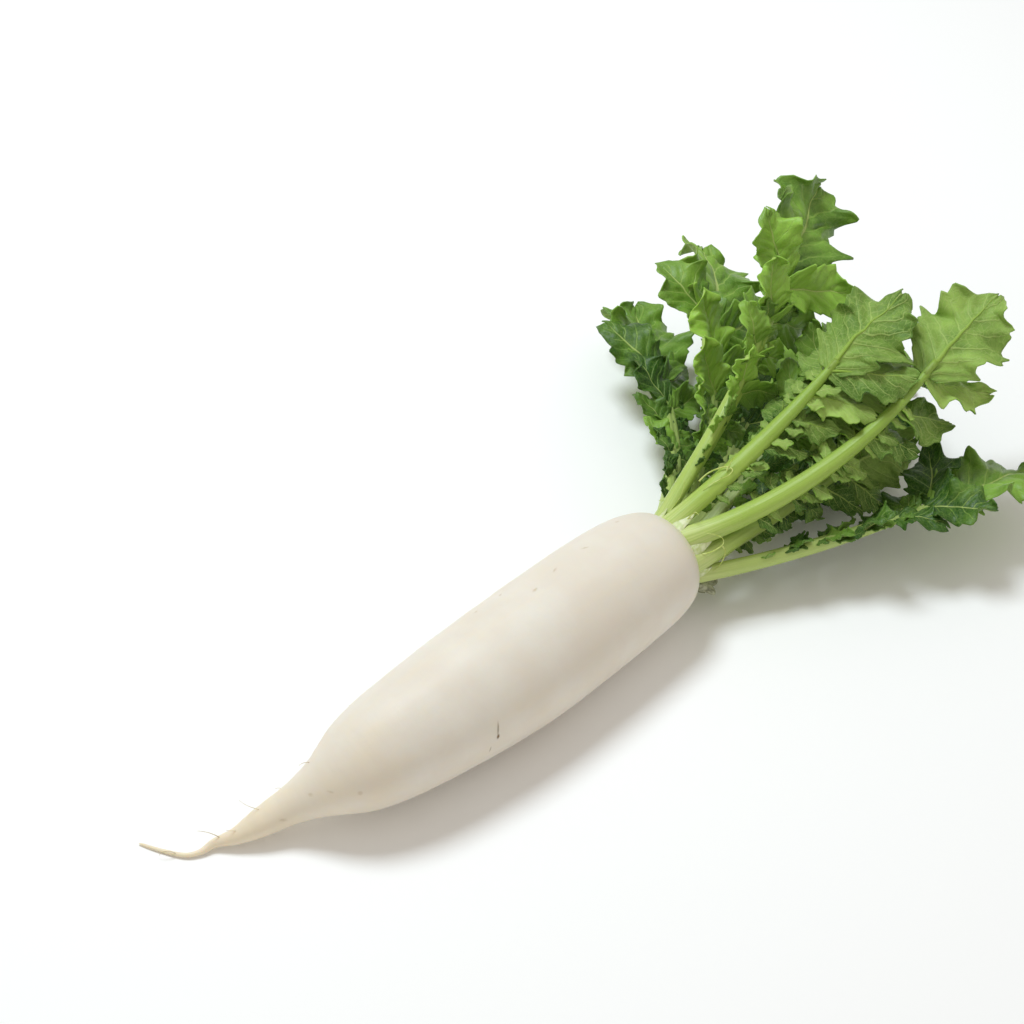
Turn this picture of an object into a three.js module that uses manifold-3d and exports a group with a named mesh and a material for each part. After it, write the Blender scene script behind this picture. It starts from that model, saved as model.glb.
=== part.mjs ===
// A daikon radish lying on its side: one white taproot that ends in a thread-thin tail,
// and a crown of leaves, each a fleshy stalk with toothed, waved lobes along both sides.
// Millimetres, +Z up. The origin is the middle of the flat spot that the root lies on,
// and +X runs along the root towards the leaves.
import * as THREE from "three";
import { mergeVertices } from "three/addons/utils/BufferGeometryUtils.js";
import Module from "manifold-3d";

const wasm = await Module();
wasm.setup();

// Root
const rootRadius = 33;
const rootSides = 28;
const rootRowsPerStation = 2;
// Middle line of the root from the crown to the tip of the tail: x, y, z
const rootLine = [
  [66, -0.4, 30.6],
  [30, 1.3, 29.5],
  [-20, -0.6, 30.2],
  [-70, -1.6, 31],
  [-110, 0.4, 29.6],
  [-133, 5.2, 23.8],
  [-155.2, 15.2, 12.9],
  [-166.8, 18.9, 9],
  [-176.7, 22.5, 5.6],
  [-185.1, 27.4, 3.1],
  [-191.4, 28.4, 1.9],
  [-196.8, 31.3, 1.5],
  [-202.8, 40.3, 1.1],
  [-208.1, 51.3, 0.8],
];
// Distance from the crown along that line, and share of the full radius there
const rootOutline = [
  [0, 0],
  [0.4, 0.3],
  [2.4, 0.5],
  [8, 0.7],
  [18, 0.82],
  [42, 0.9],
  [78, 0.927],
  [113, 0.91],
  [150, 0.832],
  [180, 0.722],
  [195, 0.596],
  [209, 0.395],
  [222, 0.275],
  [240, 0.19],
  [252, 0.11],
  [262, 0.06],
  [270, 0.036],
  [284, 0.026],
  [296, 0.01],
  [296.4, 0],
];

// Leaves
const seatGap = 0.3;
const seatRadius = 13.8;
const seatDepth = 9;
const stalkWidth = 9.8;
const stalkDepth = 10;
const stalkEnd = 0.34;
const stalkSides = 6;
const stalkSteps = 10;
const bladeThickness = 1;
const floorSoftness = 4.5;
const floorClearance = 1.1;
const lobePairs = 5;
const firstLobe = 0.36;
const smallestLobe = 0.36;
const lobeWidth = 0.62;
const endLobeLength = 1.5;
const endLobeWidth = 0.74;

// One row for each leaf. seat is the place round the crown (0 at +Y, 90 on top), heading and pitch
// are the stalk's direction at its two ends, roll turns the blade about the stalk at its far end
// (0 has the upper side up), lobe is the length of the longest side lobe, and cup bends the side
// lobes further towards the upper side.
const outerLeaves = [
  {
    name: "leaf_near", seat: 210, heading: [-31, -16], pitch: [5, 1],
    length: 123, roll: 15, lobe: 36, cup: 6, seed: 58,
  },
  {
    name: "leaf_low", seat: 165, heading: [-2, -5], pitch: [-3, 4],
    length: 92, roll: 150, lobe: 28, cup: 0, seed: 42,
  },
  {
    name: "leaf_front", seat: 118, heading: [-26, 4], pitch: [10, 25],
    length: 140, roll: 165, lobe: 40, cup: 26, seed: 13,
  },
  {
    name: "leaf_top", seat: 72, heading: [-13, 2], pitch: [28, 26],
    length: 104, roll: -185, lobe: 38, cup: 18, seed: 46,
  },
  {
    name: "leaf_back", seat: 30, heading: [6, 30], pitch: [34, 16],
    length: 140, roll: -50, lobe: 44, cup: 0, seed: 15,
  },
  {
    name: "leaf_far", seat: 343, heading: [30, 60], pitch: [-8, 4],
    length: 120, roll: -25, lobe: 40, cup: 0, seed: 52,
  },
  {
    name: "leaf_floor_far", seat: 300, heading: [18, 34], pitch: [-10, 4],
    length: 138, roll: -20, lobe: 42, cup: 0, seed: 17,
  },
  {
    name: "leaf_floor", seat: 255, heading: [3, 12], pitch: [-9, 3],
    length: 132, roll: -20, lobe: 42, cup: 0, seed: 18,
  },
];
const innerLeaves = [
  {
    name: "leaf_inner", seat: 270, heading: [4, 9], pitch: [18, 14],
    length: 118, roll: -15, lobe: 34, cup: 0, seed: 80,
  },
  {
    name: "leaf_inner_far", seat: 0, heading: [22, 48], pitch: [14, 16],
    length: 124, roll: -35, lobe: 44, cup: 0, seed: 44,
  },
];
const innerRadius = 5;
const innerScale = 0.72;

const radians = THREE.MathUtils.degToRad;
const lerp = THREE.MathUtils.lerp;
const upward = new THREE.Vector3(0, 0, 1);
const crown = new THREE.Vector3(...rootLine[0]);

// Random numbers between low and high, the same each time for the same seed
function drawsFrom(seed) {
  let state = (seed * 48271) % 2147483647;
  return (low, high) => {
    state = (state * 16807) % 2147483647;
    return lerp(low, high, state / 2147483647);
  };
}

// A closed solid from a three.js geometry: equal corners are joined and empty triangles dropped
function toSolid(geometry) {
  geometry.deleteAttribute("normal");
  geometry.deleteAttribute("uv");
  const welded = mergeVertices(geometry, 1e-4);
  const corners = welded.index.array;
  const triangles = [];
  for (let i = 0; i < corners.length; i += 3) {
    const [a, b, c] = [corners[i], corners[i + 1], corners[i + 2]];
    if (a !== b && b !== c && c !== a) triangles.push(a, b, c);
  }
  const vertProperties = Float32Array.from(welded.attributes.position.array);
  const triVerts = Uint32Array.from(triangles);
  return new wasm.Manifold(new wasm.Mesh({ numProp: 3, vertProperties, triVerts }));
}

// The largest body of a solid, so that no loose scrap and no sealed hollow stays
function mainBody(solid) {
  const bodies = solid.decompose();
  return bodies.reduce((best, body) => (body.volume() > best.volume() ? body : best));
}

function toNode(name, solid, material) {
  const mesh = solid.getMesh();
  const geometry = new THREE.BufferGeometry();
  geometry.setAttribute("position", new THREE.BufferAttribute(Float32Array.from(mesh.vertProperties), 3));
  geometry.setIndex(new THREE.BufferAttribute(Uint32Array.from(mesh.triVerts), 1));
  geometry.computeVertexNormals();
  const node = new THREE.Mesh(geometry, material);
  node.name = name;
  return node;
}

// The root: its outline turned round a straight line, then bent onto the middle line
function rootSolid(grown) {
  const line = new THREE.CatmullRomCurve3(rootLine.map((p) => new THREE.Vector3(...p)));
  const lineLength = line.getLength();
  const stations = rootOutline.map(([s, share]) => new THREE.Vector3(share * rootRadius, s, 0));
  const outline = new THREE.CatmullRomCurve3(stations);
  const rows = outline.getPoints(rootRowsPerStation * (stations.length - 1));
  const profile = rows.map((p) => new THREE.Vector2(p.x > 0.2 ? p.x + grown : 0, p.y));
  const geometry = new THREE.LatheGeometry(profile, rootSides);
  const position = geometry.attributes.position;
  for (let i = 0; i < position.count; i += 1) {
    const share = THREE.MathUtils.clamp(position.getY(i) / lineLength, 0, 1);
    const along = line.getTangentAt(share);
    const side = new THREE.Vector3().crossVectors(along, upward).normalize();
    const up = new THREE.Vector3().crossVectors(side, along);
    const point = line.getPointAt(share);
    point.addScaledVector(side, position.getX(i)).addScaledVector(up, position.getZ(i));
    position.setXYZ(i, point.x + grown, point.y, point.z);
  }
  return toSolid(geometry);
}

// Everything under z = 0, which leaves the flat spot under the belly
function underFloor() {
  const box = new THREE.BoxGeometry(200, 100, 20);
  box.translate(0, 0, -10);
  return toSolid(box);
}

// Middle line, frame and size of a leaf's stalk at share t of its length
function stalkOf(leaf, ring, scale) {
  const seat = radians(leaf.seat);
  const steps = 24;
  const turnAt = (t) => radians(lerp(leaf.heading[0], leaf.heading[1], t));
  const riseAt = (t) => radians(lerp(leaf.pitch[0], leaf.pitch[1], t));
  const alongAt = (t) => {
    const flat = Math.cos(riseAt(t));
    return new THREE.Vector3(flat * Math.cos(turnAt(t)), flat * Math.sin(turnAt(t)), Math.sin(riseAt(t)));
  };
  const points = [crown.clone().add(new THREE.Vector3(0, ring * Math.cos(seat), ring * Math.sin(seat)))];
  for (let i = 0; i < steps; i += 1) {
    points.push(points[i].clone().addScaledVector(alongAt((i + 0.5) / steps), leaf.length / steps));
  }
  const seatRoll = -90 - leaf.seat;
  const turns = Math.round((leaf.roll - seatRoll) / 360);
  const endRoll = leaf.roll - 360 * turns;
  return (t) => {
    const share = THREE.MathUtils.clamp(t, 0, 1);
    const step = Math.min(Math.floor(share * steps), steps - 1);
    const along = alongAt(share);
    const centre = points[step].clone().lerp(points[step + 1], share * steps - step);
    centre.addScaledVector(along, (t - share) * leaf.length);
    const level = upward.clone().addScaledVector(along, -along.z).normalize();
    const beside = new THREE.Vector3().crossVectors(level, along);
    const roll = radians(lerp(seatRoll, endRoll, share));
    const face = level.multiplyScalar(Math.cos(roll)).addScaledVector(beside, Math.sin(roll));
    const side = new THREE.Vector3().crossVectors(along, face);
    const taper = scale * lerp(1, stalkEnd, share ** 2.2);
    return { centre, along, face, side, width: stalkWidth * taper, depth: stalkDepth * taper };
  };
}

// The fleshy stalk, flattened on its upper side
function stalkSolid(leaf, stalk) {
  const geometry = new THREE.CylinderGeometry(1, 1, 1, stalkSides, stalkSteps);
  const position = geometry.attributes.position;
  const sunk = seatDepth / leaf.length;
  for (let i = 0; i < position.count; i += 1) {
    const at = stalk(lerp(-sunk, 1, position.getY(i) + 0.5));
    const over = position.getZ(i) * (position.getZ(i) > 0 ? 0.3 : 0.5);
    const point = at.centre.addScaledVector(at.side, (position.getX(i) * at.width) / 2);
    point.addScaledVector(at.face, over * at.depth);
    position.setXYZ(i, point.x, point.y, point.z);
  }
  return toSolid(geometry);
}

// Saw teeth along an edge, each rising slowly towards the tip and falling back quickly
function tooth(x) {
  const part = x - Math.floor(x);
  return part < 0.7 ? part / 0.7 : (1 - part) / 0.3;
}

// Middle surface of one lobe: u runs from its foot to its tip, v from edge to edge
function lobePoint(lobe, u, v) {
  const cut = tooth(u * lobe.teeth);
  const broad = Math.sin(Math.PI * (0.08 + 0.89 * u)) ** 0.75 * (0.85 + 0.3 * cut);
  const across = v * broad * lobe.half;
  const forward = lobe.length * (u + 0.05 * cut * Math.abs(v));
  const wave = Math.sin(2 * Math.PI * lobe.waves * u + lobe.phase + (v > 0 ? 0 : 1.4));
  let over = lobe.fold * Math.abs(across) - lobe.curl * lobe.length * u * u;
  over += 0.3 * lobe.half * wave * v * v * Math.min(1, 3 * u);
  const point = lobe.foot.clone().addScaledVector(lobe.along, forward);
  point.addScaledVector(lobe.side, across).addScaledVector(lobe.face, over);
  point.z -= lobe.sag * lobe.length * u * u;
  return point;
}

// A point below the soft limit is laid on the floor, where the blade's thickness is upright
function layOnFloor(point, face) {
  const room = floorSoftness - floorClearance;
  const press = Math.min(0, (point.z - floorSoftness) / room);
  if (press < 0) point.z = floorClearance + room * Math.exp(press);
  const upright = upward.clone().multiplyScalar(face.z < 0 ? -1 : 1);
  return face.clone().lerp(upright, 1 - Math.exp(press)).normalize();
}

// A blade with the same triangles on both faces and a rim between them
function lobeSolid(lobe, cells, lanes) {
  const sheet = new THREE.PlaneGeometry(1, 1, cells, lanes);
  const flat = sheet.attributes.position;
  const upper = [];
  const under = [];
  for (let i = 0; i < flat.count; i += 1) {
    const point = lobePoint(lobe, flat.getX(i) + 0.5, 2 * flat.getY(i));
    const face = layOnFloor(point, lobe.face);
    upper.push(...point.clone().addScaledVector(face, bladeThickness / 2));
    under.push(...point.clone().addScaledVector(face, -bladeThickness / 2));
  }
  const triangles = Array.from(sheet.index.array);
  const count = flat.count;
  const faces = triangles.length;
  for (let i = 0; i < faces; i += 3) {
    triangles.push(triangles[i] + count, triangles[i + 2] + count, triangles[i + 1] + count);
  }
  const row = cells + 1;
  const rim = [];
  for (let i = 0; i < cells; i += 1) rim.push(lanes * row + i);
  for (let j = lanes; j > 0; j -= 1) rim.push(j * row + cells);
  for (let i = cells; i > 0; i -= 1) rim.push(i);
  for (let j = 0; j < lanes; j += 1) rim.push(j * row);
  rim.forEach((a, i) => {
    const b = rim[(i + 1) % rim.length];
    triangles.push(a + count, b + count, b, a + count, b, a);
  });
  const geometry = new THREE.BufferGeometry();
  geometry.setAttribute("position", new THREE.Float32BufferAttribute(upper.concat(under), 3));
  geometry.setIndex(triangles);
  return toSolid(geometry);
}

// One side lobe of a leaf: grows forward from the stalk at t, on side +1 or -1, and share is its
// size against the longest one
function sideLobe(leaf, stalk, t, hand, share, draw) {
  const at = stalk(t);
  const length = leaf.lobe * share * draw(0.88, 1.12);
  const forward = radians(draw(30, 46));
  const lift = radians(draw(-4, 24) + leaf.cup);
  const twist = radians(hand * draw(6, 26));
  const along = at.along.clone().multiplyScalar(Math.sin(forward));
  along.addScaledVector(at.side, hand * Math.cos(forward)).multiplyScalar(Math.cos(lift));
  along.addScaledVector(at.face, Math.sin(lift));
  const face = at.face.clone().addScaledVector(along, -at.face.dot(along)).normalize();
  face.applyAxisAngle(along, twist);
  const side = new THREE.Vector3().crossVectors(face, along);
  const frame = { foot: at.centre, along, face, side };
  const size = { length, half: length * lobeWidth * 0.5, teeth: 2.5, waves: 1.5 };
  const form = { fold: draw(0.1, 0.35), curl: draw(-0.1, 0.22), sag: draw(0.05, 0.2), phase: draw(0, 6.3) };
  return { ...frame, ...size, ...form };
}

// The broad lobe that ends the leaf
function endLobe(leaf, stalk, draw) {
  const at = stalk(0.97);
  const length = leaf.lobe * endLobeLength * draw(0.94, 1.06);
  const frame = { foot: at.centre, along: at.along, face: at.face, side: at.side.negate() };
  const size = { length, half: length * endLobeWidth * 0.5, teeth: 3.5, waves: 2 };
  const form = { fold: draw(0.12, 0.3), curl: draw(-0.08, 0.14), sag: draw(0.12, 0.24), phase: draw(0, 6.3) };
  return { ...frame, ...size, ...form };
}

// A whole leaf as one body: stalk, pairs of side lobes that grow larger towards the end, end lobe
function leafSolid(leaf, ring, scale, seatCut) {
  const draw = drawsFrom(leaf.seed);
  const stalk = stalkOf(leaf, ring, scale);
  let solid = stalkSolid(leaf, stalk);
  for (let i = 0; i < lobePairs; i += 1) {
    const share = i / (lobePairs - 1);
    for (const hand of [1, -1]) {
      const t = lerp(firstLobe, 0.93, share) + (hand > 0 ? 0 : 0.035);
      const size = lerp(smallestLobe, 1, share);
      solid = solid.add(lobeSolid(sideLobe(leaf, stalk, t, hand, size, draw), 5, 2));
    }
  }
  solid = solid.add(lobeSolid(endLobe(leaf, stalk, draw), 7, 4));
  return mainBody(solid.subtract(seatCut).asOriginal().simplify(0.01));
}

const skin = new THREE.MeshStandardMaterial({ color: 0xe9e2d3, roughness: 0.45, metalness: 0 });
const leafGreen = { color: 0x5f8f38, roughness: 0.55, metalness: 0 };
const innerGreen = { color: 0xa3bf5c, roughness: 0.55, metalness: 0 };

const radish = new THREE.Group();
radish.name = "daikon_radish";
radish.add(toNode("root", mainBody(rootSolid(0).subtract(underFloor())), skin));
const seatCut = rootSolid(seatGap);
for (const leaf of outerLeaves) {
  const solid = leafSolid(leaf, seatRadius, 1, seatCut);
  radish.add(toNode(leaf.name, solid, new THREE.MeshStandardMaterial(leafGreen)));
}
for (const leaf of innerLeaves) {
  const solid = leafSolid(leaf, innerRadius, innerScale, seatCut);
  radish.add(toNode(leaf.name, solid, new THREE.MeshStandardMaterial(innerGreen)));
}
export default radish;
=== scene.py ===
import math
import random

import bmesh
import bpy
from mathutils import Matrix, Vector, noise


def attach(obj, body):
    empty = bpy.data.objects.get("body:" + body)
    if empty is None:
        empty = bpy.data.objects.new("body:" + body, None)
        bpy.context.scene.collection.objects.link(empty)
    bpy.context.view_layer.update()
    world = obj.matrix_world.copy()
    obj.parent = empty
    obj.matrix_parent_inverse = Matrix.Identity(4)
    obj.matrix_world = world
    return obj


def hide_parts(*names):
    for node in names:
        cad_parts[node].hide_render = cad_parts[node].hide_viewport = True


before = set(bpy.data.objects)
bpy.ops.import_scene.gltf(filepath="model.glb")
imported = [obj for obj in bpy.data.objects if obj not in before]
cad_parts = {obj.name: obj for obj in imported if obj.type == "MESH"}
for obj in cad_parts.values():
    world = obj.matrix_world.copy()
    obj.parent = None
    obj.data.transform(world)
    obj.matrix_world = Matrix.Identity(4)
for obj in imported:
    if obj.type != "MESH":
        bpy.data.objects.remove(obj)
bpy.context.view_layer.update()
scene = bpy.context.scene
mm = 0.001                      # shapes are worked out in millimetres and scaled once
upward = Vector((0, 0, 1))
noise.seed_set(11)              # vector noise starts from the clock otherwise


def lerp(a, b, t):
    return a + (b - a) * t


def ease(low, high, x):
    t = min(max((x - low) / (high - low), 0), 1)
    return t * t * (3 - 2 * t)


def curveThrough(points, perSpan):
    # centripetal curve through the points, perSpan steps between two of them
    ends = [points[0] * 2 - points[1]] + points + [points[-1] * 2 - points[-2]]
    line = []
    for i in range(1, len(points)):
        p0, p1, p2, p3 = ends[i - 1:i + 3]
        d0, d1, d2 = [(b - a).length ** 0.5 for a, b in ((p0, p1), (p1, p2), (p2, p3))]
        out = ((p1 - p0) / d0 - (p2 - p0) / (d0 + d1) + (p2 - p1) / d1) * d1
        into = ((p2 - p1) / d1 - (p3 - p1) / (d1 + d2) + (p3 - p2) / d2) * d1
        for k in range(perSpan):
            w = k / perSpan
            square = (p2 - p1) * 3 - out * 2 - into
            cube = (p1 - p2) * 2 + out + into
            line.append(p1 + out * w + square * w * w + cube * w ** 3)
    line.append(points[-1].copy())
    return line


def finishPiece(name, bm, slot, materials, *nodes):
    bmesh.ops.scale(bm, vec=(mm, mm, mm), verts=bm.verts)
    mesh = bpy.data.meshes.new(name)
    bm.to_mesh(mesh)
    bm.free()
    for material in materials:
        mesh.materials.append(material)
    mesh.shade_smooth()
    piece = bpy.data.objects.new(name, mesh)
    scene.collection.objects.link(piece)
    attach(piece, "root")
    if nodes:
        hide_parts(*nodes)
    return piece


def faceOutward(bm, verts):
    # a closed shell whose faces look inwards is turned round
    bm.normal_update()
    faces = list({f for v in verts for f in v.link_faces})
    if sum(f.calc_center_median().dot(f.normal) * f.calc_area() for f in faces) < 0:
        bmesh.ops.reverse_faces(bm, faces=faces)


def addTube(bm, sides, steps, place):
    # capped tube of steps rings; place(corner, angle, t) gives each corner's point
    before = len(bm.verts)
    bmesh.ops.create_cone(bm, cap_ends=True, segments=sides, radius1=1, radius2=1, depth=1)
    rails = {e for v in bm.verts[before:] for e in v.link_edges
             if abs(e.verts[0].co.z - e.verts[1].co.z) > 0.5}
    bmesh.ops.subdivide_edges(bm, edges=list(rails), cuts=steps - 1, use_grid_fill=True)
    made = bm.verts[before:]
    for v in made:
        v.co = place(v, math.atan2(v.co.y, v.co.x), v.co.z + 0.5)
    faceOutward(bm, made)


def pathTube(bm, path, sides, steps, section):
    # tube along a list of points; section(angle, t) gives the offsets beside and above it
    last = len(path) - 1

    def place(vert, angle, t):
        i = min(int(t * last), last - 1)
        along = (path[i + 1] - path[i]).normalized()
        beside = along.cross(upward).normalized()
        wide, high = section(angle, t)
        point = path[i].lerp(path[i + 1], t * last - i) + beside * wide + beside.cross(along) * high
        point.z = max(point.z, 0.2)
        return point
    addTube(bm, sides, steps, place)


# Shader helpers

def add(tree, kind, inputs=None, **settings):
    node = tree.nodes.new("ShaderNode" + kind)
    for key, value in settings.items():
        setattr(node, key, value)
    for key, value in (inputs or {}).items():
        if isinstance(value, bpy.types.NodeSocket):
            tree.links.new(value, node.inputs[key])
        else:
            node.inputs[key].default_value = value
    return node


def calc(tree, operation, a, b=0.0, c=0.0):
    return add(tree, "Math", {0: a, 1: b, 2: c}, operation=operation).outputs[0]


def step(tree, value, low, high, fromZero=0.0, toOne=1.0):
    inputs = {"Value": value, "From Min": low, "From Max": high, "To Min": fromZero, "To Max": toOne}
    return add(tree, "MapRange", inputs, interpolation_type="SMOOTHSTEP").outputs[0]


def blendColour(tree, share, a, b, kind="MIX"):
    mixed = add(tree, "Mix", {0: share, 6: a, 7: b}, data_type="RGBA", blend_type=kind)
    return mixed.outputs[2]


def grain(tree, coords, scale, detail=3.0, stretch=(1, 1, 1), shift=(0, 0, 0)):
    mapped = add(tree, "Mapping", {"Vector": coords, "Scale": stretch, "Location": shift})
    inputs = {"Vector": mapped.outputs[0], "Scale": scale, "Detail": detail, "Roughness": 0.55}
    return add(tree, "TexNoise", inputs).outputs[0]


def rgb(r, g, b):
    return (r, g, b, 1.0)


def newGroup(name, inputs, outputs):
    group = bpy.data.node_groups.new(name, "ShaderNodeTree")
    for label, kind, value in inputs:
        socket = group.interface.new_socket(name=label, in_out="INPUT", socket_type="NodeSocket" + kind)
        socket.default_value = value
    for label in outputs:
        group.interface.new_socket(name=label, in_out="OUTPUT", socket_type="NodeSocketFloat")
    start = group.nodes.new("NodeGroupInput")
    end = group.nodes.new("NodeGroupOutput")
    return group, start, end


def useGroup(tree, group, inputs):
    node = tree.nodes.new("ShaderNodeGroup")
    node.node_tree = group
    for key, value in inputs.items():
        if isinstance(value, bpy.types.NodeSocket):
            tree.links.new(value, node.inputs[key])
        else:
            node.inputs[key].default_value = value
    return node


def newMaterial(name, subsurface, radius, **sockets):
    material = bpy.data.materials.new(name)
    material.use_nodes = True
    tree = material.node_tree
    shader = tree.nodes["Principled BSDF"]
    shader.inputs["Subsurface Weight"].default_value = subsurface
    shader.inputs["Subsurface Radius"].default_value = radius
    shader.inputs["Subsurface Scale"].default_value = 1.0
    for key, value in sockets.items():
        shader.inputs[key].default_value = value
    coords = add(tree, "TexCoord").outputs["Object"]
    return material, tree, shader, coords


def setBump(tree, shader, height, strength, distance):
    inputs = {"Height": height, "Strength": strength, "Distance": distance}
    bump = add(tree, "Bump", inputs)
    tree.links.new(bump.outputs[0], shader.inputs["Normal"])


def setColour(tree, shader, colour, roughness):
    tree.links.new(colour, shader.inputs["Base Color"])
    tree.links.new(roughness, shader.inputs["Roughness"])


# A soft-edged mark on the skin: an ellipsoid with its own place, turn and half sizes
markGroup, markIn, markOut = newGroup("skinMark", [
    ("Coords", "Vector", (0, 0, 0)), ("Place", "Vector", (0, 0, 0)),
    ("Turn", "Vector", (0, 0, 0)), ("Half Size", "Vector", (1, 1, 1)), ("Wobble", "Float", 0.3),
], ["Mask"])
markSpace = add(markGroup, "Mapping", {
    "Vector": markIn.outputs["Coords"], "Location": markIn.outputs["Place"],
    "Rotation": markIn.outputs["Turn"], "Scale": markIn.outputs["Half Size"]}, vector_type="TEXTURE")
markLength = add(markGroup, "VectorMath", {0: markSpace.outputs[0]}, operation="LENGTH").outputs["Value"]
markNoise = grain(markGroup, markIn.outputs["Coords"], 900, 2)
markNoise = calc(markGroup, "MULTIPLY_ADD", markNoise, markIn.outputs["Wobble"], markLength)
markGroup.links.new(step(markGroup, markNoise, 1.25, 0.35), markOut.inputs["Mask"])

# Veins of a blade from its own map: u along the midrib, v from edge to edge
veining = {"pairs": 6.0, "slant": 0.27, "net": 17.0}
veinGroup, veinIn, veinOut = newGroup("leafVeins", [
    ("Map", "Vector", (0, 0, 0)), ("Side Veins", "Float", veining["pairs"]),
    ("Net Scale", "Float", veining["net"]),
], ["Midrib", "Side", "Net", "Height"])
veinMap = add(veinGroup, "SeparateXYZ", {0: veinIn.outputs["Map"]})
veinU = veinMap.outputs[0]
veinV = calc(veinGroup, "ABSOLUTE", veinMap.outputs[1])
netPlace = add(veinGroup, "CombineXYZ", {
    0: calc(veinGroup, "MULTIPLY_ADD", veinMap.outputs[2], 37.0, veinU),
    1: calc(veinGroup, "MULTIPLY", veinMap.outputs[1], 0.42)}).outputs[0]
veinWobble = add(veinGroup, "TexNoise", {"Vector": netPlace, "Scale": 7.0, "Detail": 2.0}).outputs[0]
midWide = calc(veinGroup, "MULTIPLY_ADD", veinU, -0.05, 0.075)
midMask = step(veinGroup, calc(veinGroup, "DIVIDE", veinV, midWide), 1.0, 0.3)
ladder = calc(veinGroup, "MULTIPLY_ADD", veinV, -veining["slant"], veinU)
ladder = calc(veinGroup, "MULTIPLY_ADD", veinWobble, 0.06, ladder)
ladder = calc(veinGroup, "MULTIPLY", ladder, veinIn.outputs["Side Veins"])
ladder = calc(veinGroup, "PINGPONG", ladder, 0.5)
sideWide = calc(veinGroup, "MULTIPLY_ADD", veinV, -0.045, 0.085)
sideMask = step(veinGroup, calc(veinGroup, "DIVIDE", ladder, sideWide), 1.0, 0.25)
sideMask = calc(veinGroup, "MULTIPLY", sideMask, step(veinGroup, veinV, 1.05, 0.5, 0.25, 1.0))
netCells = add(veinGroup, "TexVoronoi", {
    "Vector": netPlace, "Scale": veinIn.outputs["Net Scale"]}, feature="DISTANCE_TO_EDGE").outputs[0]
netMask = step(veinGroup, netCells, 0.07, 0.01)
veinHeight = calc(veinGroup, "MAXIMUM", midMask, calc(veinGroup, "MULTIPLY", sideMask, 0.7))
veinHeight = calc(veinGroup, "MULTIPLY_ADD", netMask, 0.22, veinHeight)
for label, value in (("Midrib", midMask), ("Side", sideMask), ("Net", netMask), ("Height", veinHeight)):
    veinGroup.links.new(value, veinOut.inputs[label])
print("scene: node groups ready")


# Root skin
skin = {
    "cream": rgb(0.75, 0.68, 0.58), "ivory": rgb(0.785, 0.735, 0.65), "sallow": rgb(0.84, 0.72, 0.52),
    "collar": rgb(0.68, 0.67, 0.38), "brown": rgb(0.20, 0.125, 0.06), "tan": rgb(0.52, 0.40, 0.24),
    "wobble": {"slits": 0.3, "spots": 0.7},
    # place, turn, half sizes in mm and strength of each mark
    "slits": [
        ((-72.1, -29.2, 37.6), (-0.21, 0.21, 0), (0.65, 3.0, 4.8), 0.65),
        ((-72.6, -29.7, 33.6), (-0.21, 0.21, 0), (0.95, 3.0, 1.7), 1.0),
        ((-76.8, -29.2, 28.0), (-0.21, 0.21, 0), (0.5, 3.0, 2.2), 0.5),
    ],
    "spots": [
        ((-4.2, 8.2, 59.3), (0.2, 0, 0.4), (3.2, 1.0, 3.0), 0.55),
        ((15.7, 9.7, 58.4), (0, 0, -0.5), (2.9, 0.9, 3.0), 0.55),
        ((-19.6, 4.5, 60.4), (0, 0, 0.2), (2.8, 1.2, 3.0), 0.6),
        ((-29.8, 15.9, 55.5), (0, 0, 0.6), (2.3, 1.0, 3.0), 0.5),
        ((-44.3, 15.9, 55.7), (0, 0, 0.3), (1.9, 1.0, 3.0), 0.5),
        ((-160.7, 9.6, 14.9), (0, 0, 0.9), (0.8, 3.0, 1.5), 0.42),
        ((-149.5, 4.1, 27.4), (0, 0.4, 0.6), (0.7, 3.0, 1.4), 0.34),
        ((-144.2, -3.0, 31.4), (0, 0.5, 0.6), (0.7, 3.0, 0.9), 0.32),
        ((-28.0, 28.1, 20.4), (0, 0.2, 0), (0.5, 3.0, 3.2), 0.7),
        ((22.0, 30.3, 33.8), (0, -0.2, 0), (0.5, 3.0, 2.4), 0.6),
        ((-96.0, 24.4, 38.7), (0, 0.3, 0), (0.6, 3.0, 2.8), 0.7),
    ],
}


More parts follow.
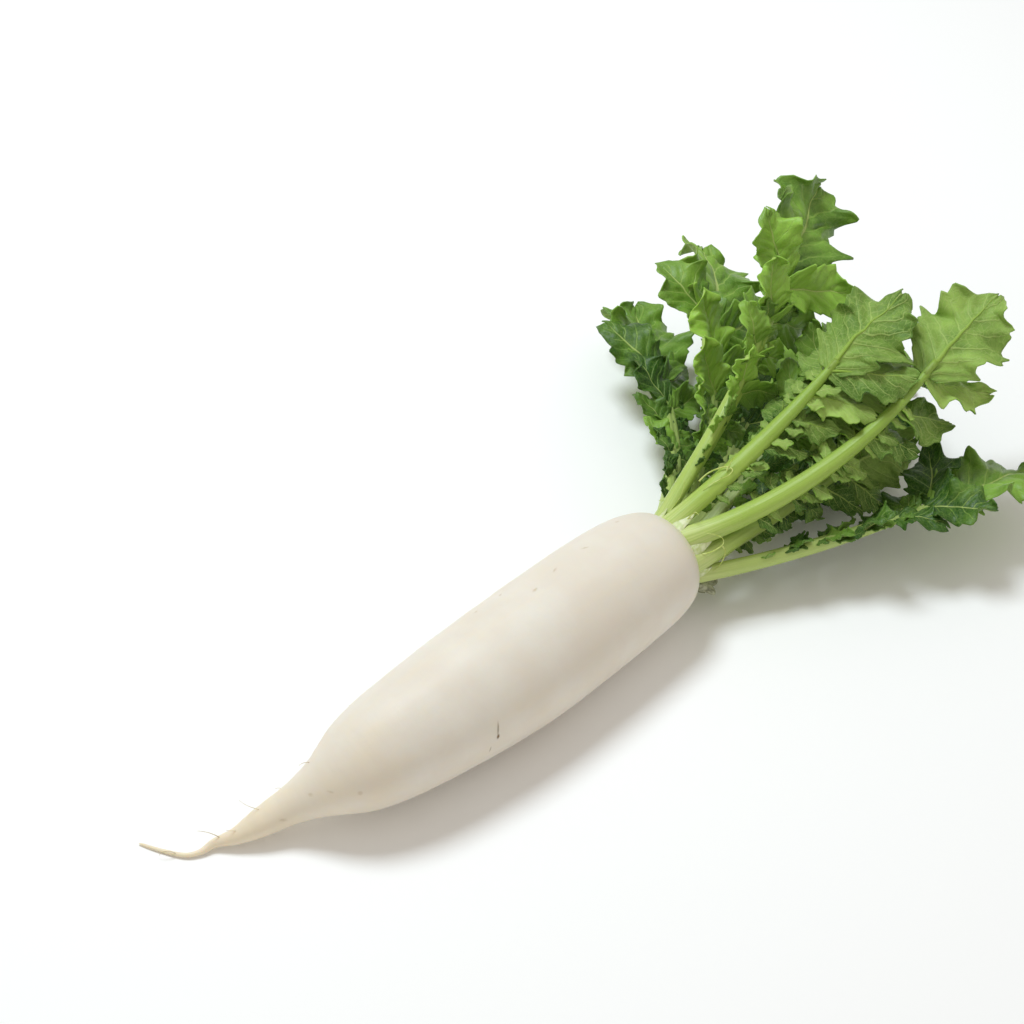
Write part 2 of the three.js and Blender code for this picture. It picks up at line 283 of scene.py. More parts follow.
def skinMaterial():
    material, tree, shader, coords = newMaterial(
        "rootSkin", 0.35, (0.0032, 0.0022, 0.0012), **{"Specular IOR Level": 0.36})
    place = add(tree, "SeparateXYZ", {0: coords})
    cloud = grain(tree, coords, 26, 4)
    streak = grain(tree, coords, 120, 3, (0.10, 1, 1))
    ringLine = grain(tree, coords, 240, 3, (1, 0.12, 0.12))
    colour = blendColour(tree, step(tree, cloud, 0.35, 0.68), skin["cream"], skin["ivory"])
    colour = blendColour(tree, step(tree, streak, 0.45, 0.75, 0.0, 0.22), colour, skin["sallow"])
    # the tail is sallow and the shoulder takes a green tinge where the stalks sit
    tailward = calc(tree, "MULTIPLY_ADD", cloud, 0.05, place.outputs[0])
    colour = blendColour(tree, step(tree, tailward, -0.075, -0.180, 0.0, 0.85), colour, skin["sallow"])
    crownward = calc(tree, "MULTIPLY_ADD", streak, 0.012, place.outputs[0])
    colour = blendColour(tree, step(tree, crownward, 0.058, 0.076, 0.0, 0.8), colour, skin["collar"])
    # sparse pin marks over the whole skin
    pins = add(tree, "TexVoronoi", {"Vector": coords, "Scale": 75.0, "Randomness": 1.0})
    pinSize = calc(tree, "MULTIPLY", add(tree, "SeparateXYZ", {0: pins.outputs["Color"]}).outputs[0], 0.16)
    pinMask = step(tree, calc(tree, "SUBTRACT", pins.outputs["Distance"], pinSize), -0.02, -0.09)
    colour = blendColour(tree, calc(tree, "MULTIPLY", pinMask, 0.34), colour, skin["tan"])
    dents = None
    for kind, tone in (("slits", "brown"), ("spots", "tan")):
        for where, turn, half, strength in skin[kind]:
            mark = useGroup(tree, markGroup, {
                "Coords": coords, "Place": [c * mm for c in where], "Turn": turn,
                "Half Size": [c * mm for c in half], "Wobble": skin["wobble"][kind]}).outputs[0]
            mask = calc(tree, "MULTIPLY", mark, strength)
            colour = blendColour(tree, mask, colour, skin[tone])
            dents = mask if dents is None else calc(tree, "MAXIMUM", dents, mask)
    roughness = calc(tree, "MULTIPLY_ADD", streak, 0.22, 0.38)
    roughness = calc(tree, "MULTIPLY_ADD", dents, 0.25, roughness)
    setColour(tree, shader, colour, roughness)
    fine = grain(tree, coords, 1400, 2)
    height = calc(tree, "MULTIPLY_ADD", ringLine, 0.5, calc(tree, "MULTIPLY", streak, 0.7))
    height = calc(tree, "MULTIPLY_ADD", fine, 0.12, height)
    height = calc(tree, "MULTIPLY_ADD", dents, -1.4, height)
    setBump(tree, shader, height, 0.22, 0.0012)
    return material


def leafMaterial(name, tones, under):
    material, tree, shader, coords = newMaterial(
        name, 0.22, (0.0006, 0.0010, 0.0003), **{"Specular IOR Level": 0.22 if under else 0.38})
    bladeMap = add(tree, "Attribute", attribute_name="bladeMap").outputs["Vector"]
    tint = add(tree, "SeparateXYZ", {0: bladeMap}).outputs[2]
    lines = useGroup(tree, veinGroup, {
        "Map": bladeMap, "Side Veins": veining["pairs"], "Net Scale": veining["net"]})
    cloud = grain(tree, coords, 60, 4)
    # painted shade: blades low down near the floor are darkened as if shaded by the blades above them
    place = add(tree, "SeparateXYZ", {0: coords})
    paintedShade = step(tree, place.outputs[2], 0.020, 0.100, -0.95, -0.36)
    share = calc(tree, "MULTIPLY_ADD", tint, 0.9, calc(tree, "MULTIPLY_ADD", cloud, 1.3, paintedShade))
    colour = blendColour(tree, share, tones["deep"], tones["light"])
    speck = grain(tree, coords, 900, 2)
    colour = blendColour(tree, step(tree, speck, 0.4, 0.75, 0.0, 0.18), colour, tones["vein"])
    weights = (("Net", "vein", tones["net"]), ("Side", "vein", tones["side"]), ("Midrib", "rib", 0.9))
    for line, tone, weight in weights:
        mask = calc(tree, "MULTIPLY", lines.outputs[line], weight)
        colour = blendColour(tree, mask, colour, tones[tone])
    roughness = calc(tree, "MULTIPLY_ADD", cloud, 0.24, 0.42 if under else 0.30)
    setColour(tree, shader, colour, roughness)
    raised = 1.0 if under else -0.8
    height = calc(tree, "MULTIPLY", lines.outputs["Height"], raised)
    height = calc(tree, "MULTIPLY_ADD", speck, 0.35, height)
    setBump(tree, shader, height, 0.55, 0.0006)
    return material


def stalkMaterial(name, tones):
    material, tree, shader, coords = newMaterial(
        name, 0.25, (0.0018, 0.0022, 0.0008), **{"Specular IOR Level": 0.45})
    stalkMap = add(tree, "Attribute", attribute_name="stalkMap").outputs["Vector"]
    parts = add(tree, "SeparateXYZ", {0: stalkMap})
    t = parts.outputs[2]
    # fibres run along the stalk: noise round it, stretched far along it
    fibrePlace = add(tree, "Mapping", {"Vector": stalkMap, "Scale": (1, 1, 0.35)}).outputs[0]
    fibre = add(tree, "TexNoise", {"Vector": fibrePlace, "Scale": 6.5, "Detail": 4.0}).outputs[0]
    speck = grain(tree, coords, 700, 3)
    rise = calc(tree, "MULTIPLY_ADD", fibre, 0.10, t)
    colour = blendColour(tree, step(tree, rise, 0.02, 0.24), tones["base"], tones["pale"])
    colour = blendColour(tree, step(tree, rise, 0.22, 0.95), colour, tones["green"])
    colour = blendColour(tree, step(tree, fibre, 0.42, 0.66, 0.0, 0.38), colour, tones["green"])
    # stalks that grow on the underside stay paler
    under = add(tree, "Attribute", attribute_name="underside").outputs["Fac"]
    colour = blendColour(tree, calc(tree, "MULTIPLY", under, 0.5), colour, tones["shaded"])
    colour = blendColour(tree, step(tree, speck, 0.52, 0.80, 0.0, 0.25), colour, tones["base"])
    roughness = calc(tree, "MULTIPLY_ADD", speck, 0.2, 0.30)
    setColour(tree, shader, colour, roughness)
    height = calc(tree, "MULTIPLY_ADD", speck, 0.18, fibre)
    setBump(tree, shader, height, 0.35, 0.0008)
    return material


def plainMaterial(name, dark, light, roughness):
    material, tree, shader, coords = newMaterial(name, 0.15, (0.001, 0.0008, 0.0004))
    cloud = grain(tree, coords, 420, 4)
    colour = blendColour(tree, step(tree, cloud, 0.35, 0.65), dark, light)
    setColour(tree, shader, colour, calc(tree, "MULTIPLY_ADD", cloud, 0.2, roughness))
    setBump(tree, shader, cloud, 0.4, 0.0005)
    return material


# net and side say how much the vein colour shows in the fine net and in the side veins
outerUpper = {"deep": rgb(0.024, 0.088, 0.005), "light": rgb(0.295, 0.520, 0.062),
              "vein": rgb(0.30, 0.45, 0.09), "rib": rgb(0.46, 0.57, 0.17), "net": 0.20, "side": 0.55}
outerUnder = {"deep": rgb(0.046, 0.128, 0.010), "light": rgb(0.380, 0.550, 0.120),
              "vein": rgb(0.40, 0.53, 0.15), "rib": rgb(0.53, 0.63, 0.22), "net": 0.40, "side": 0.75}
innerUpper = {"deep": rgb(0.038, 0.130, 0.007), "light": rgb(0.325, 0.545, 0.068),
              "vein": rgb(0.36, 0.50, 0.11), "rib": rgb(0.49, 0.60, 0.18), "net": 0.22, "side": 0.6}
innerUnder = {"deep": rgb(0.066, 0.165, 0.016), "light": rgb(0.405, 0.570, 0.135),
              "vein": rgb(0.45, 0.57, 0.19), "rib": rgb(0.54, 0.64, 0.22), "net": 0.40, "side": 0.75}
stalkTones = {"base": rgb(0.54, 0.63, 0.21), "pale": rgb(0.375, 0.525, 0.085),
              "green": rgb(0.265, 0.42, 0.05), "shaded": rgb(0.60, 0.66, 0.28)}
rootSkin = skinMaterial()
leafFaces = {
    "outer_leaf": [leafMaterial("outerLeafUpper", outerUpper, False),
                   leafMaterial("outerLeafUnderside", outerUnder, True)],
    "inner_leaf": [leafMaterial("innerLeafUpper", innerUpper, False),
                   leafMaterial("innerLeafUnderside", innerUnder, True)],
}
stalkSkin = stalkMaterial("stalkSkin", stalkTones)
fibreSkin = plainMaterial("driedFibre", rgb(0.42, 0.52, 0.09), rgb(0.64, 0.72, 0.25), 0.4)
stubSkin = plainMaterial("oldLeafBase", rgb(0.17, 0.175, 0.10), rgb(0.42, 0.43, 0.28), 0.55)
budSkin = plainMaterial("youngBud", rgb(0.50, 0.58, 0.22), rgb(0.68, 0.72, 0.44), 0.35)
hairSkin = plainMaterial("rootHair", rgb(0.50, 0.38, 0.22), rgb(0.72, 0.62, 0.44), 0.5)
print("scene: materials ready")


# Root: its outline turned round a line, then bent onto the middle line
taproot = {
    "radius": 33, "sides": 192, "rowsPerSpan": 18,
    "line": [
        (66, -0.4, 30.6), (30, 1.3, 29.5), (-20, -0.6, 30.2), (-70, -1.6, 31), (-110, 0.4, 29.6),
        (-133, 5.2, 23.8), (-155.2, 15.2, 12.9), (-166.8, 18.9, 9), (-176.7, 22.5, 5.6),
        (-185.1, 27.4, 3.1), (-191.4, 28.4, 1.9), (-196.8, 31.3, 1.5), (-202.8, 40.3, 1.1),
        (-208.1, 51.3, 0.8),
    ],
    # distance from the crown, and share of the radius there
    "outline": [
        (0, 0), (0.4, 0.3), (2.4, 0.5), (8, 0.7), (18, 0.82), (42, 0.9), (78, 0.927), (113, 0.91),
        (150, 0.832), (180, 0.722), (195, 0.596), (209, 0.395), (222, 0.275), (240, 0.19), (252, 0.11),
        (262, 0.06), (270, 0.036), (284, 0.026), (296, 0.01), (296.4, 0),
    ],
    "swell": 0.55, "wrinkle": 0.16,
}
rootLine = curveThrough([Vector(p) for p in taproot["line"]], 60)
rootReach = [0.0]
for a, b in zip(rootLine, rootLine[1:]):
    rootReach.append(rootReach[-1] + (b - a).length)


def rootFrame(distance):
    # point and axes of the middle line at a distance from the crown
    goal = min(max(distance, 0), rootReach[-1] - 1e-6)
    i = next(k for k in range(len(rootReach) - 1) if rootReach[k + 1] > goal)
    share = (goal - rootReach[i]) / (rootReach[i + 1] - rootReach[i])
    point = rootLine[i].lerp(rootLine[i + 1], share)
    before = rootLine[max(i - 3, 0)]
    after = rootLine[min(i + 4, len(rootLine) - 1)]
    along = (after - before).normalized()
    side = along.cross(upward).normalized()
    return point, side, side.cross(along)


def buildTaproot():
    bm = bmesh.new()
    stations = [Vector((share * taproot["radius"], s, 0)) for s, share in taproot["outline"]]
    rows = curveThrough(stations, taproot["rowsPerSpan"])
    profile = [bm.verts.new((max(p.x, 0), 0, p.y)) for p in rows]
    chain = [bm.edges.new(pair) for pair in zip(profile, profile[1:])]
    bmesh.ops.spin(bm, geom=profile + chain, cent=(0, 0, 0), axis=(0, 0, 1), angle=2 * math.pi,
                   steps=taproot["sides"], use_merge=True)
    bmesh.ops.remove_doubles(bm, verts=bm.verts, dist=0.002)
    frames = {}
    for v in bm.verts:
        s = v.co.z
        key = round(s, 4)
        if key not in frames:
            frames[key] = rootFrame(s)
        point, side, up = frames[key]
        wide = math.hypot(v.co.x, v.co.y)
        out = side * v.co.x + up * v.co.y
        spot = point + out
        if wide > 0.2:
            body = min(1, wide / 12)
            swell = noise.noise(spot * 0.028) * 0.7 + noise.noise(spot * 0.07 + Vector((9, 3, 5))) * 0.3
            rings = noise.noise(Vector((s * 0.30, spot.y * 0.012, spot.z * 0.012)))
            thin = ease(165, 215, s) + 0.5 * ease(16, 2, s)
            rise = taproot["swell"] * swell * body + taproot["wrinkle"] * rings * (0.25 + thin) * body
            spot += out.normalized() * rise
        spot.z = max(spot.z, 0)
        v.co = spot
    bmesh.ops.recalc_face_normals(bm, faces=bm.faces)
    faceOutward(bm, bm.verts)
    finishPiece("taproot", bm, "root_skin", [rootSkin], "root")


buildTaproot()
print("scene: root built")


# Leaves: a fleshy stalk, pairs of toothed lobes that grow larger outwards, and an end lobe
foliage = {
    "ring": 13.8, "innerRing": 5, "innerScale": 0.72, "sunk": 8.5, "stalkWidth": 9.8, "stalkDepth": 10,
    "stalkEnd": 0.34, "pairs": 5, "firstLobe": 0.36, "smallestLobe": 0.36, "lobeWidth": 0.62,
    "endLength": 1.5, "endWidth": 0.74, "floorSoftness": 4.5, "floorClearance": 1.1, "thickness": 0.55,
    "crumple": 3.0, "pucker": 1.1, "wave": 0.3, "frill": 0.12, "pillow": 0.075,
    "leaflets": 20, "leafletSeat": 0.42, "leafletReach": (0.13, 0.22),
    "bristles": 90, "bristleThick": 0.11, "bristleLength": (0.9, 1.9),
    "stalkCells": (28, 72), "ribCells": (10, 18),
    "sideCells": (44, 26), "endCells": (66, 38), "leafletCells": (18, 10),
}
# seat round the crown, headings, pitches, length, roll, longest lobe, seed, cup of the lobes
outerLeaves = {
    "leaf_near": (210, (-31, -16), (5, 1), 123, 15, 36, 58, 6),
    "leaf_low": (165, (-2, -5), (-3, 4), 92, 150, 28, 42, 0),
    "leaf_front": (118, (-26, 4), (10, 25), 140, 165, 40, 13, 26),
    "leaf_top": (72, (-13, 2), (28, 26), 104, -185, 38, 46, 18),
    "leaf_back": (30, (6, 30), (34, 16), 140, -50, 44, 15, 0),
    "leaf_far": (343, (30, 60), (-8, 4), 120, -25, 40, 52, 0),
    "leaf_floor_far": (300, (18, 34), (-10, 4), 138, -20, 42, 17, 0),
    "leaf_floor": (255, (3, 12), (-9, 3), 132, -20, 42, 18, 0),
}
innerLeaves = {
    "leaf_inner": (270, (4, 9), (18, 14), 118, -15, 34, 80, 0),
    "leaf_inner_far": (0, (22, 48), (14, 16), 124, -35, 44, 44, 0),
}
crown = Vector(taproot["line"][0])


def drawsFrom(seed):
    # the same draws as the solid leaves take, so the lobes lie in the same places
    modulus = 2 ** 31 - 1
    state = seed * 48271 % modulus

    def draw(low, high):
        nonlocal state
        state = state * 16807 % modulus
        return lerp(low, high, state / modulus)
    return draw


def stalkLine(leaf, ring, scale):
    seat, heading, pitch, length, roll = leaf[:5]
    steps = 24

    def direction(t):
        turn = math.radians(lerp(*heading, t))
        rise = math.radians(lerp(*pitch, t))
        return Vector((math.cos(rise) * math.cos(turn), math.cos(rise) * math.sin(turn), math.sin(rise)))

    angle = math.radians(seat)
    points = [crown + Vector((0, ring * math.cos(angle), ring * math.sin(angle)))]
    for i in range(steps):
        points.append(points[i] + direction((i + 0.5) / steps) * (length / steps))
    seatRoll = -90 - seat
    endRoll = roll - 360 * math.floor((roll - seatRoll) / 360 + 0.5)

    def at(t):
        share = min(max(t, 0), 1)
        i = min(int(share * steps), steps - 1)
        along = direction(share)
        centre = points[i].lerp(points[i + 1], share * steps - i) + along * ((t - share) * length)
        level = (upward - along * along.z).normalized()
        turn = math.radians(lerp(seatRoll, endRoll, share))
        face = level * math.cos(turn) + level.cross(along) * math.sin(turn)
        taper = scale * lerp(1, foliage["stalkEnd"], share ** 2.2)
        return centre, along, face, along.cross(face), taper
    return at


def sideLobe(stalk, t, hand, length, cup, draw):
    centre, along, face, side, taper = stalk(t)
    length *= draw(0.88, 1.12)
    forward = math.radians(draw(30, 46))
    lift = math.radians(draw(-4, 24) + cup)
    twist = math.radians(hand * draw(6, 26))
    level = along * math.sin(forward) + side * (hand * math.cos(forward))
    along = level * math.cos(lift) + face * math.sin(lift)
    face = (face - along * face.dot(along)).normalized()
    face = Matrix.Rotation(twist, 3, along) @ face
    return {"foot": centre, "along": along, "face": face, "side": face.cross(along), "length": length,
            "half": length * foliage["lobeWidth"] * 0.5, "teeth": 2.5, "waves": 1.5, "taper": taper,
            "fold": draw(0.1, 0.35), "curl": draw(-0.1, 0.22), "sag": draw(0.05, 0.2),
            "phase": draw(0, 6.3)}


def endLobe(stalk, length, draw):
    centre, along, face, side, taper = stalk(0.97)
    length *= foliage["endLength"] * draw(0.94, 1.06)
    return {"foot": centre, "along": along, "face": face, "side": -side, "length": length,
            "half": length * foliage["endWidth"] * 0.5, "teeth": 3.5, "waves": 2, "taper": taper,
            "fold": draw(0.12, 0.3), "curl": draw(-0.08, 0.14), "sag": draw(0.12, 0.24),
            "phase": draw(0, 6.3)}


def lobesOf(leaf, stalk):
    longest, seed, cup = leaf[5:]
    draw = drawsFrom(seed)
    lobes = []
    for i in range(foliage["pairs"]):
        share = i / (foliage["pairs"] - 1)
        for hand in (1, -1):
            t = lerp(foliage["firstLobe"], 0.93, share) + (0 if hand > 0 else 0.035)
            size = longest * lerp(foliage["smallestLobe"], 1, share)
            lobes.append(sideLobe(stalk, t, hand, size, cup, draw))
    lobes.append(endLobe(stalk, longest, draw))
    return lobes


def tooth(x):
    part = x - math.floor(x)
    return part / 0.7 if part < 0.7 else (1 - part) / 0.3


def layOnFloor(point):
    room = foliage["floorSoftness"] - foliage["floorClearance"]
    press = (point.z - foliage["floorSoftness"]) / room
    if press < 0:
        point.z = foliage["floorClearance"] + room * math.exp(press)
    return point


def bladePoint(lobe, u, v):
    # the lobe's middle surface, with small teeth, a frilled edge and puckers between its veins
    length, half, phase = lobe["length"], lobe["half"], lobe["phase"]
    edge = abs(v)
    cut = tooth(u * lobe["teeth"])
    small = tooth(u * lobe["teeth"] * 3 + phase + (0 if v > 0 else 0.4))
    broad = math.sin(math.pi * (0.08 + 0.89 * u)) ** 0.75 * (0.85 + 0.3 * cut)
    broad *= (0.94 + 0.12 * small) * min(1, (1.02 - u) / 0.09) ** 0.5
    across = v * broad * half
    forward = length * (u + (0.05 * cut + 0.012 * small) * edge)
    wave = math.sin(2 * math.pi * lobe["waves"] * u + phase + (0 if v > 0 else 1.4))
    frill = math.sin(2 * math.pi * lobe["waves"] * 2.6 * u + 2.3 * phase + (0 if v > 0 else 2.2))
    over = lobe["fold"] * (math.hypot(across, 0.9) - 0.9) - lobe["curl"] * length * u * u
    over += half * (foliage["wave"] * wave * edge ** 2 * min(1, 3 * u)
                    + foliage["frill"] * frill * edge ** 4 * min(1, 4 * u))
    rungs = (u - veining["slant"] * edge) * veining["pairs"]
    pillow = abs(math.sin(math.pi * rungs)) ** 0.8 * ease(0.0, 0.22, edge) * (1 - edge ** 3)
    over += foliage["pillow"] * half * (pillow - 0.35 * ease(0.0, 0.3, edge))
    point = lobe["foot"] + lobe["along"] * forward + lobe["side"] * across + lobe["face"] * over
    point.z -= lobe["sag"] * length * u * u
    crumple = noise.noise_vector(point * 0.048) * foliage["crumple"]
    pucker = noise.noise_vector(point * 0.13 + Vector((5, 1, 8))) * foliage["pucker"]
    point += (crumple + pucker) * ease(0, 0.5, u)
    return layOnFloor(point)


def addBlade(bm, lobe, cells, bladeMap, tint):
    before = len(bm.verts)
    bmesh.ops.create_grid(bm, x_segments=cells[0], y_segments=cells[1], size=0.5)
    for vert in bm.verts[before:]:
        u, v = vert.co.x + 0.5, 2 * vert.co.y
        vert[bladeMap] = (u, v, tint)
        vert.co = bladePoint(lobe, u, v)


def addMidrib(bm, lobe, stalkMap, thick):
    # a tapered rib under the middle of the blade, standing a little proud above it
    def place(vert, angle, t):
        u = lerp(0.0, 0.93, t)
        centre = bladePoint(lobe, u, 0)
        radius = thick * lerp(1, 0.2, t ** 0.8)
        vert[stalkMap] = (math.cos(angle), math.sin(angle), 0.55 + 0.4 * t)
        drop = lobe["face"] * (radius * (0.95 * math.sin(angle) - 0.5))
        return centre + lobe["side"] * (radius * 0.95 * math.cos(angle)) + drop
    addTube(bm, *foliage["ribCells"], place)


def addBristle(bm, seat, angle, length, stalkMap):
    centre, along, face, side, taper = seat
    across, over = math.cos(angle), math.sin(angle)
    foot = centre + side * (across * foliage["stalkWidth"] * 0.5 * taper)
    foot += face * (over * (0.2 if over > 0 else 0.48) * foliage["stalkDepth"] * taper)
    lean = (side * across + face * over + along * 0.5).normalized()
    if foot.z < 2:
        return
    before = len(bm.verts)
    turn = lean.to_track_quat("Z", "Y").to_matrix().to_4x4()
    place = Matrix.Translation(foot + lean * (length * 0.4)) @ turn
    bmesh.ops.create_cone(bm, cap_ends=True, segments=4, radius1=foliage["bristleThick"], radius2=0,
                          depth=length, matrix=place)
    for vert in bm.verts[before:]:
        vert[stalkMap] = (across, over, 0.1)


def buildLeaf(name, leaf, slot, ring, scale):
    seat, _, _, length, _, longest, seed, cup = leaf
    stalk = stalkLine(leaf, ring, scale)
    lobes = lobesOf(leaf, stalk)
    extra = random.Random(seed * 7 + 3)
    stem = bmesh.new()
    stalkMap = stem.verts.layers.float_vector.new("stalkMap")
    underside = stem.verts.layers.float.new("underside")

    def place(vert, angle, t):
        share = lerp(-foliage["sunk"] / length, 1.03, t)
        centre, along, face, side, taper = stalk(share)
        flare = 1 + 0.24 * math.exp(-max(share, 0) * length / 7)
        across, over = math.cos(angle), math.sin(angle)
        groove = 0.10 * math.exp(-(across / 0.38) ** 2) if over > 0 else 0
        ridge = 1 + 0.018 * math.cos(9 * angle)
        vert[stalkMap] = (across, over, max(share, 0))
        wide = across * foliage["stalkWidth"] * 0.5 * taper * flare * ridge
        high = (over * (0.3 if over > 0 else 0.5) * ridge - groove) * foliage["stalkDepth"] * taper
        point = centre + side * wide + face * high
        point.z = max(point.z, 0.4)
        return point
    addTube(stem, *foliage["stalkCells"], place)
    for lobe in lobes:
        root = 1.15 if lobe is lobes[-1] else 0.85
        addMidrib(stem, lobe, stalkMap, root * lerp(0.6, 1, lobe["half"] / 14) * scale)
    for i in range(foliage["bristles"]):
        t, angle = extra.uniform(0.08, 0.98), extra.uniform(0, 2 * math.pi)
        addBristle(stem, stalk(t), angle, extra.uniform(*foliage["bristleLength"]), stalkMap)
    for vert in stem.verts:
        vert[underside] = 0.5 - 0.5 * math.sin(math.radians(seat))
    finishPiece(name + "_stalk", stem, slot, [stalkSkin], name)

    blade = bmesh.new()
    bladeMap = blade.verts.layers.float_vector.new("bladeMap")
    for lobe in lobes:
        cells = foliage["endCells"] if lobe is lobes[-1] else foliage["sideCells"]
        addBlade(blade, lobe, cells, bladeMap, extra.random())
    for i in range(foliage["leaflets"]):
        t = lerp(0.2, 0.9, (i + extra.random()) / foliage["leaflets"])
        hand = 1 if i % 2 else -1
        reach = longest * extra.uniform(*foliage["leafletReach"]) * lerp(1, 1.7, t)
        small = sideLobe(stalk, t, hand, reach, cup, extra.uniform)
        side = stalk(t)[3]
        small["foot"] += side * (hand * foliage["leafletSeat"] * foliage["stalkWidth"] * small["taper"])
        addBlade(blade, small, foliage["leafletCells"], bladeMap, extra.random())
    piece = finishPiece(name + "_blade", blade, slot, leafFaces[slot], name)
    wall = piece.modifiers.new("thickness", "SOLIDIFY")
    wall.thickness = foliage["thickness"] * mm
    wall.offset = 0
    wall.material_offset = 1
    wall.material_offset_rim = 0


for name, leaf in outerLeaves.items():
    buildLeaf(name, leaf, "outer_leaf", foliage["ring"], 1)
for name, leaf in innerLeaves.items():
    buildLeaf(name, leaf, "inner_leaf", foliage["innerRing"], foliage["innerScale"])
print("scene: leaves built")


# Crown: curled threads, thin scales, old leaf bases and the young bud, in the gaps between the stalks
crownTrim = {
    # threads laid over the near stalks, points in mm
    "threads": [
        [(84, 5.9, 57.5), (87.5, 4.4, 61), (91, 1.9, 63.5), (94, -1.6, 65.5), (94.5, -4.6, 65.3),
         (92, -4.8, 63.8), (88.5, -2.8, 62), (84.5, -0.9, 60), (81, 0.4, 57.5)],
        [(93, -2.4, 64.5), (95, -2.3, 67), (97.5, -2.3, 70)],
        [(64.5, -15.1, 39), (67.5, -17.6, 39.8), (71.5, -19.3, 41), (75, -19.6, 42.5),
         (75, -18.6, 45), (72.5, -16.6, 47.3), (70, -13.6, 47.8)],
        [(74, -19.6, 42), (75, -21.1, 38.5), (74.5, -21.1, 35), (73, -20.6, 31), (70, -19.6, 27.5)],
    ],
    # angles round the crown of the loose threads; a seat is a ring and a place past the crown
    "loose": (94, 187, 51, 7, 322, 277), "looseSeat": (15.5, -3), "looseLength": (12, 26),
    "threadThick": 0.42,
    # angle round the crown, length and half width
    "scales": [(51, 9, 2.8), (94, 13, 3.2), (141, 11, 3.0), (187, 9, 2.8), (277, 8, 2.8), (322, 9, 2.8)],
    "stubs": [(224, 15, 4.0), (232, 18, 5.0), (242, 15, 4.4)],
    # how far they lean out, how thin they are, and how long they stay broad
    "scaleSeat": (16.5, -4), "scaleForm": (0.30, 0.55, 1.3), "stubForm": (0.62, 2.8, 3),
    # place past the crown, heading, length, half width
    "buds": [((-2, -2.5, 6.5), (1, -0.16, 0.30), 24, 3.6), ((-2, -5.5, 2.0), (1, -0.3, 0.16), 19, 3.0)],
}


def crownSpot(angle, ring, past):
    turn = math.radians(angle)
    out = Vector((0, math.cos(turn), math.sin(turn)))
    return crown + out * ring + Vector((past, 0, 0)), out


def bentPath(start, heading, length, axis, bend, steps=16):
    # a path that curls more and more towards its end
    points = [start]
    for i in range(steps):
        points.append(points[-1] + heading * (length / steps))
        heading = Matrix.Rotation(bend * (0.4 + 1.6 * i / steps), 3, axis) @ heading
    return points


def threadSection(thick):
    def section(angle, t):
        radius = thick * (1 - 0.7 * t)
        return radius * math.cos(angle), radius * math.sin(angle)
    return section


def flatSection(turn, half, thin, point, phase):
    # a flat scale turned round its path; a higher point keeps it broad for longer
    def section(angle, t):
        uneven = 1 + 0.10 * math.sin(5 * angle + phase) + 0.08 * math.sin(9 * t + phase)
        shrink = (1 - t ** point) ** 0.7 * uneven
        wide, high = half * shrink * math.cos(angle), thin * shrink * math.sin(angle)
        return wide * math.cos(turn) - high * math.sin(turn), wide * math.sin(turn) + high * math.cos(turn)
    return section


def addScales(bm, rows, form, draws):
    lean, thin, point = form
    for angle, length, half in rows:
        spot, out = crownSpot(angle, *crownTrim["scaleSeat"])
        axis = out.cross(Vector((1, 0, 0))).normalized()
        heading = (Vector((1, 0, 0)) + out * lean).normalized()
        path = bentPath(spot, heading, length, axis, draws.uniform(-0.05, 0.03))
        turn = math.pi / 2 - math.radians(angle)
        pathTube(bm, path, 20, 24, flatSection(turn, half, thin, point, draws.uniform(0, 6)))


def budSection(half):
    def section(angle, t):
        folds = 1 + 0.10 * math.cos(6 * angle + 4 * t)
        swell = half * math.sin(math.pi * lerp(0.32, 0.985, t)) ** 0.8 * folds
        return swell * math.cos(angle), 0.75 * swell * math.sin(angle)
    return section


def buildCrown():
    draws = random.Random(29)
    bm = bmesh.new()
    for points in crownTrim["threads"]:
        path = curveThrough([Vector(p) for p in points], 8)
        pathTube(bm, path, 8, 48, threadSection(crownTrim["threadThick"]))
    for angle in crownTrim["loose"]:
        spot, out = crownSpot(angle + draws.uniform(-9, 9), *crownTrim["looseSeat"])
        heading = (Vector((1, 0, 0)) + out * draws.uniform(0.15, 0.6)).normalized()
        axis = Vector((draws.uniform(-0.4, 0.4), draws.uniform(-1, 1), draws.uniform(-1, 1))).normalized()
        length, bend = draws.uniform(*crownTrim["looseLength"]), draws.uniform(0.1, 0.26)
        path = bentPath(spot, heading, length, axis, bend)
        pathTube(bm, path, 8, 36, threadSection(crownTrim["threadThick"] * draws.uniform(0.7, 1.1)))
    finishPiece("crown_fibres", bm, "outer_leaf", [fibreSkin])

    bm = bmesh.new()
    addScales(bm, crownTrim["scales"], crownTrim["scaleForm"], draws)
    finishPiece("crown_scales", bm, "outer_leaf", [budSkin])
    bm = bmesh.new()
    addScales(bm, crownTrim["stubs"], crownTrim["stubForm"], draws)
    finishPiece("crown_stubs", bm, "outer_leaf", [stubSkin])

    bm = bmesh.new()
    for shift, heading, length, half in crownTrim["buds"]:
        start, heading = crown + Vector(shift), Vector(heading).normalized()
        path = bentPath(start, heading, length, Vector((0, 1, 0)), 0.02)
        pathTube(bm, path, 36, 40, budSection(half))
    finishPiece("crown_bud", bm, "inner_leaf", [budSkin])


buildCrown()
print("scene: crown finished")


# Fine rootlets along the tail
rootlets = {"count": 8, "from": 170, "to": 284, "length": (4, 12), "thick": 0.24, "sunk": 0.6}


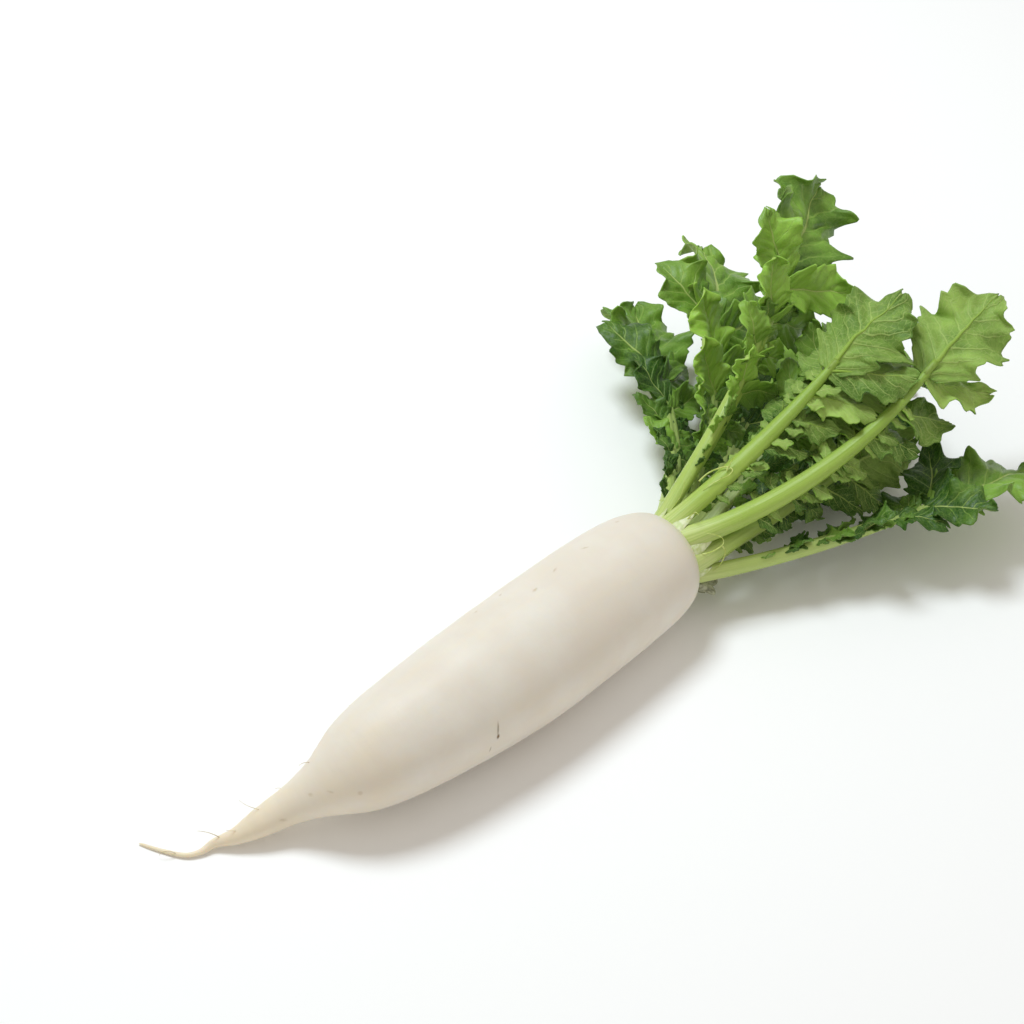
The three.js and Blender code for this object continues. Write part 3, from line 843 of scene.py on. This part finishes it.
def buildRootlets():
    draws = random.Random(7)
    bm = bmesh.new()
    shares = taproot["outline"]
    for i in range(rootlets["count"]):
        s = lerp(rootlets["from"], rootlets["to"], (i + draws.random()) / rootlets["count"])
        k = next(n for n in range(len(shares) - 1) if shares[n + 1][0] > s)
        part = (s - shares[k][0]) / (shares[k + 1][0] - shares[k][0])
        radius = lerp(shares[k][1], shares[k + 1][1], part) * taproot["radius"]
        point, side, up = rootFrame(s)
        angle = draws.uniform(-0.4, math.pi + 0.4)
        out = side * math.cos(angle) + up * math.sin(angle)
        tailward = up.cross(side)
        heading = (out + tailward * draws.uniform(0.5, 1.4)).normalized()
        axis = Vector((draws.uniform(-1, 1), draws.uniform(-1, 1), draws.uniform(-1, 1))).normalized()
        length, bend = draws.uniform(*rootlets["length"]), draws.uniform(-0.14, 0.14)
        path = bentPath(point + out * (radius - rootlets["sunk"]), heading, length, axis, bend)
        pathTube(bm, path, 7, 26, threadSection(rootlets["thick"] * draws.uniform(0.6, 1.15)))
    finishPiece("tail_rootlets", bm, "root_skin", [hairSkin])


buildRootlets()
print("scene: rootlets built")


# Floor, light and camera
stage = {
    "floor": rgb(0.965, 0.96, 0.955), "world": rgb(1.0, 0.95, 0.88), "worldPower": 0.535,
    "azimuth": -42.5, "elevation": 45, "distance": 1.25, "lens": 94.48,
    "target": (0.024752, 0.067776, 0.032),
    # direction as seen by the camera (right, up, towards it), distance, size, power, colour
    "lights": [("key", (-0.22, 0.83, 0.50), 1.4, 0.5, 13.9, (0.84, 0.935, 1.0)),
               ("fill", (0.9, 0.25, 0.6), 1.6, 1.2, 1.0, (1.0, 0.95, 0.86))],
}


def buildStage():
    bm = bmesh.new()
    bmesh.ops.create_grid(bm, x_segments=2, y_segments=2, size=8)
    mesh = bpy.data.meshes.new("floor")
    bm.to_mesh(mesh)
    bm.free()
    floor = bpy.data.objects.new("floor", mesh)
    scene.collection.objects.link(floor)
    material = bpy.data.materials.new("paleFloor")
    material.use_nodes = True
    shader = material.node_tree.nodes["Principled BSDF"]
    shader.inputs["Base Color"].default_value = stage["floor"]
    shader.inputs["Roughness"].default_value = 0.9
    shader.inputs["Specular IOR Level"].default_value = 0.1
    mesh.materials.append(material)

    world = bpy.data.worlds.new("studio")
    world.use_nodes = True
    world.node_tree.nodes["Background"].inputs[0].default_value = stage["world"]
    world.node_tree.nodes["Background"].inputs[1].default_value = stage["worldPower"]
    scene.world = world

    a, e = math.radians(stage["azimuth"]), math.radians(stage["elevation"])
    back = Vector((math.sin(a) * math.cos(e), -math.cos(a) * math.cos(e), math.sin(e)))
    right = Vector((math.cos(a), math.sin(a), 0))
    up = back.cross(right)
    target = Vector(stage["target"])
    camera = bpy.data.objects.new("camera", bpy.data.cameras.new("camera"))
    camera.data.lens = stage["lens"]
    camera.data.sensor_width = 36
    camera.data.clip_end = 50
    camera.matrix_world = Matrix.Translation(target + back * stage["distance"]) @ \
        Matrix((right, up, back)).transposed().to_4x4()
    scene.collection.objects.link(camera)
    scene.camera = camera
    for name, (r, u, b), distance, size, power, colour in stage["lights"]:
        toward = (right * r + up * u + back * b).normalized()
        lamp = bpy.data.lights.new(name, "AREA")
        lamp.shape = "DISK"
        lamp.size = size
        lamp.energy = power
        lamp.color = colour
        light = bpy.data.objects.new(name, lamp)
        light.matrix_world = Matrix.Translation(target + toward * distance) @ \
            toward.to_track_quat("Z", "Y").to_matrix().to_4x4()
        scene.collection.objects.link(light)
    scene.view_settings.view_transform = "Standard"
    scene.view_settings.look = "None"


buildStage()
print("scene: stage ready")
